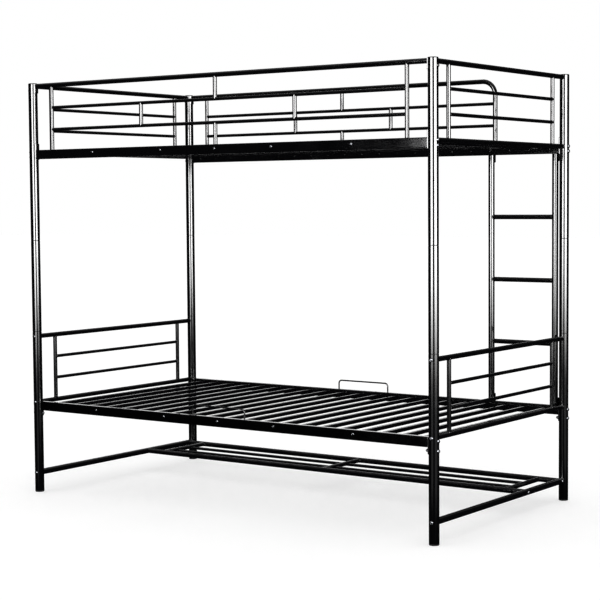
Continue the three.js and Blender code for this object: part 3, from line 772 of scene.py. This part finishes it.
def cad_bolts():
    """The bolts that the CAD has too."""
    grip = 2 * HEAD_STAND_OFF + SADDLE_THICKNESS + GAP
    kinds = (("lower_rail_bolt", LOWER_BOLT_Z[0]), ("lower_bracket_bolt", LOWER_BOLT_Z[1]),
             ("upper_rail_bolt_high", UPPER_BOLT_Z[0]), ("upper_rail_bolt_low", UPPER_BOLT_Z[1]))
    for corner, (x, y) in CORNERS.items():
        outward = -inward_of(x)
        face = x + outward * HEAD_STAND_OFF
        for kind, z in kinds:
            s = Shell()
            bolt_head(s, Vector((face, y, z)), X * outward)
            if kind == "lower_bracket_bolt":
                cap_nut(s, Vector((face - outward * grip, y, z)), -X * outward)
            zinc(s, f"{kind}_head_{corner}", [f"{kind}_{corner}"])
        s = Shell()
        side = math.copysign(1, y)
        bolt_head(s, Vector((x, y + side * HEAD_STAND_OFF, BOTTOM_RAIL_Z)), Y * side)
        zinc(s, f"bottom_rail_bolt_head_{corner}", [f"bottom_rail_bolt_{corner}"])


def panel_bolts():
    """Bolts through the posts into the ends of the lower end panels' rails."""
    top, _, _, cross = LOWER_PANEL_Z
    for end, x in (("left", -POST_X), ("right", POST_X)):
        s = Shell()
        for side in (-1, 1):
            for z in (top, cross):
                bolt_head(s, Vector((x, side * (POST_Y + HEAD_STAND_OFF), z)), Y * side)
        zinc(s, f"lower_panel_bolts_{end}")


def deck_bolts():
    """Bolts through the side rails into the strips at the ends of the slats."""
    for level, rail_z in (("lower", LOWER_RAIL_Z), ("upper", UPPER_RAIL_Z)):
        for side, sign in (("front", -1), ("rear", 1)):
            s = Shell()
            for x in DECK_BOLT_X:
                y = sign * (POST_Y + SIDE_RAIL_WIDTH / 2)
                bolt_head(s, Vector((x, y, rail_z + SLAT_ABOVE_RAIL)), Y * sign, *DECK_HEAD)
            zinc(s, f"{level}_deck_bolts_{side}")


def guard_bolts():
    """Black bolts through the posts into the guard rails' saddle plates."""
    for side, xs, y in (("front", (-POST_X, POST_X), -POST_Y), ("rear", (-POST_X,), POST_Y)):
        s = Shell()
        for x in xs:
            outward = -inward_of(x)
            bolt_head(s, Vector((x + outward * HEAD_STAND_OFF, y, GUARD_BOLT_Z)), X * outward)
        steel(s, f"guard_bolts_{side}", angle=BOLT_SHARP_ANGLE)


def ladder_bolts():
    """Bolts through the ladder's tabs into the side rails."""
    s = Shell()
    face = POST_Y + SIDE_RAIL_WIDTH / 2 + GAP + TAB_THICKNESS
    low, high = LOWER_RAIL_Z + SIDE_RAIL_HEIGHT / 2, UPPER_RAIL_Z + SIDE_RAIL_HEIGHT / 2 - LADDER_BOLT_DROP
    for x in STILE_X:
        for z in (low, high):
            bolt_head(s, Vector((x, face, z)), Y, *LADDER_HEAD)
    zinc(s, "ladder_bolts")


def shelf_bolts():
    """Bolts through the bottom cross rails into the ends of the shelf's long tubes."""
    s = Shell()
    for side in (-1, 1):
        for y in SHELF_TUBE_Y:
            face = Vector((side * (POST_X + BOTTOM_RAIL_R + GAP), y, BOTTOM_RAIL_Z))
            bolt_head(s, face, X * side, *SHELF_HEAD)
    zinc(s, "shelf_bolts")


posts()
for end_name, end_x in (("left", -POST_X), ("right", POST_X)):
    end_panel(end_x, LOWER_PANEL_Z, f"lower_end_panel_{end_name}")
    end_panel(end_x, UPPER_PANEL_Z, f"upper_end_panel_{end_name}")
for side_name, side_y in (("front", -POST_Y), ("rear", POST_Y)):
    side_rail(f"lower_side_rail_{side_name}", side_y, LOWER_RAIL_Z, LOWER_SADDLE_Z, True)
    side_rail(f"upper_side_rail_{side_name}", side_y, UPPER_RAIL_Z, UPPER_SADDLE_Z, False)
    mattress_stop(side_name, side_y)
slat_deck("lower_slat_deck", LOWER_RAIL_Z)
slat_deck("upper_slat_deck", UPPER_RAIL_Z)
front_guard()
rear_guard()
ladder()
bottom_rails()
shelf()
cad_bolts()
panel_bolts()
deck_bolts()
guard_bolts()
ladder_bolts()
shelf_bolts()


# ---- Studio, in metres ----
def floor():
    mesh = bpy.data.meshes.new("floor")
    corners = [(sx * FLOOR_HALF, sy * FLOOR_HALF, 0) for sx, sy in ((-1, -1), (1, -1), (1, 1), (-1, 1))]
    mesh.from_pydata(corners, [], [(0, 1, 2, 3)])
    mesh.materials.append(pale_floor())
    plane = add_object("floor", mesh)
    plane.location.z = -FLOOR_DROP
    plane.visible_glossy = False


def softbox(name, a, b, heights, strength, fade):
    """A glowing upright panel between two floor points, seen in reflections only.
    Its glow rises over the heights of the fade."""
    low, high = heights
    mesh = bpy.data.meshes.new(name)
    mesh.from_pydata([(*a, low), (*b, low), (*b, high), (*a, high)], [], [(0, 1, 2, 3)])
    n = Nodes(name)
    height = n.add("ShaderNodeSeparateXYZ")
    n.link(n.place, height.inputs["Vector"])
    glow = n.add("ShaderNodeEmission")
    rise = n.add("ShaderNodeMapRange", interpolation_type="SMOOTHSTEP")
    n.link(height.outputs["Z"], rise.inputs["Value"])
    set_range(rise, fade, (SOFTBOX_REST * strength, strength))
    n.link(rise.outputs["Result"], glow.inputs["Strength"])
    n.link(glow.outputs["Emission"], n.tree.nodes["Material Output"].inputs["Surface"])
    mesh.materials.append(n.material)
    panel = add_object(name, mesh)
    panel.visible_camera = False
    panel.visible_diffuse = False
    panel.visible_shadow = False
    panel.visible_transmission = False


def overhead():
    """A very wide, soft light from above that leaves no reflection."""
    data = bpy.data.lights.new("overhead", "SUN")
    data.energy = OVERHEAD_POWER
    data.angle = math.radians(OVERHEAD_ANGLE)
    light = add_object("overhead", data)
    light.visible_glossy = False


def world():
    """A white studio to the camera; in reflections, a dim room with a soft ceiling and a pale
    backdrop low behind the bed."""
    studio = bpy.data.worlds.new("studio")
    bpy.context.scene.world = studio
    studio.use_nodes = True
    tree = studio.node_tree
    tree.nodes.clear()
    new, link = tree.nodes.new, tree.links.new

    def remap(value, source, target):
        node = new("ShaderNodeMapRange")
        node.interpolation_type = "SMOOTHSTEP"
        link(value, node.inputs["Value"])
        set_range(node, source, target)
        return node.outputs["Result"]

    def maths(operation, a, b):
        node = new("ShaderNodeMath")
        node.operation = operation
        for socket, value in zip(node.inputs, (a, b)):
            if isinstance(value, float):
                socket.default_value = value
            else:
                link(value, socket)
        return node.outputs["Value"]

    def between(value, rise, fall, peak):
        """Zero, up to the peak over one range and back to zero over another."""
        return maths("MULTIPLY", remap(value, rise, (0.0, peak)), remap(value, fall, (1.0, 0.0)))

    direction = new("ShaderNodeTexCoord").outputs["Generated"]
    split = new("ShaderNodeSeparateXYZ")
    link(direction, split.inputs["Vector"])
    up = split.outputs["Z"]
    ceiling = remap(up, (0.35, 0.8), (ROOM_GLOW, CEILING_GLOW))
    behind = new("ShaderNodeVectorMath")
    behind.operation = "DOT_PRODUCT"
    link(direction, behind.inputs[0])
    behind.inputs[1].default_value = BACKDROP_DIRECTION
    facing = remap(behind.outputs["Value"], (0.86, 0.95), (0.0, 1.0))
    upper_band = between(up, rise=(0.085, 0.11), fall=(0.18, 0.24), peak=1.0)
    lower_band = between(up, rise=(-0.05, -0.035), fall=(-0.02, -0.01), peak=0.5)
    bands = maths("ADD", upper_band, lower_band)
    backdrop = maths("MULTIPLY", maths("MULTIPLY", facing, bands), BACKDROP_GLOW)
    rays = new("ShaderNodeLightPath")
    mix = new("ShaderNodeMix")
    link(rays.outputs["Is Camera Ray"], mix.inputs["Factor"])
    link(maths("ADD", ceiling, backdrop), mix.inputs["A"])
    mix.inputs["B"].default_value = 1.0
    background = new("ShaderNodeBackground")
    background.inputs["Color"].default_value = (1, 1, 1, 1)
    link(mix.outputs["Result"], background.inputs["Strength"])
    output = new("ShaderNodeOutputWorld")
    link(background.outputs["Background"], output.inputs["Surface"])


def camera():
    level, tilt = math.cos(CAMERA_ELEVATION), math.sin(CAMERA_ELEVATION)
    back = Vector((math.sin(CAMERA_AZIMUTH) * level, -math.cos(CAMERA_AZIMUTH) * level, tilt))
    right = Vector((math.cos(CAMERA_AZIMUTH), math.sin(CAMERA_AZIMUTH), 0))
    up = back.cross(right)
    across = right * math.cos(CAMERA_ROLL) + up * math.sin(CAMERA_ROLL)
    upward = up * math.cos(CAMERA_ROLL) - right * math.sin(CAMERA_ROLL)
    data = bpy.data.cameras.new("camera")
    data.sensor_width = CAMERA_SENSOR
    data.lens = CAMERA_LENS
    data.clip_end = CAMERA_REACH
    eye = add_object("camera", data)
    rows = [[across[i], upward[i], back[i], CAMERA_PLACE[i]] for i in range(3)] + [[0, 0, 0, 1]]
    eye.matrix_world = Matrix(rows)
    bpy.context.scene.camera = eye


floor()
softbox("softbox_front", (-1.1, -4.1), (2.31, -5.16), (-0.6, 3.2), SOFTBOX_GLOW, (-0.05, 0.95))
softbox("softbox_right", (4.34, -3.41), (5.35, 0.95), (-0.6, 3.2), SOFTBOX_GLOW, (-0.05, 0.95))
softbox("softbox_rear", (-2.2, 5.2), (-4.4, 4.2), (1.6, 3.6), REAR_SOFTBOX_GLOW, (1.6, 2.4))
overhead()
world()
camera()
bpy.context.scene.view_settings.view_transform = "Standard"
bpy.context.scene.view_settings.look = "None"
bpy.context.scene.view_settings.gamma = VIEW_GAMMA
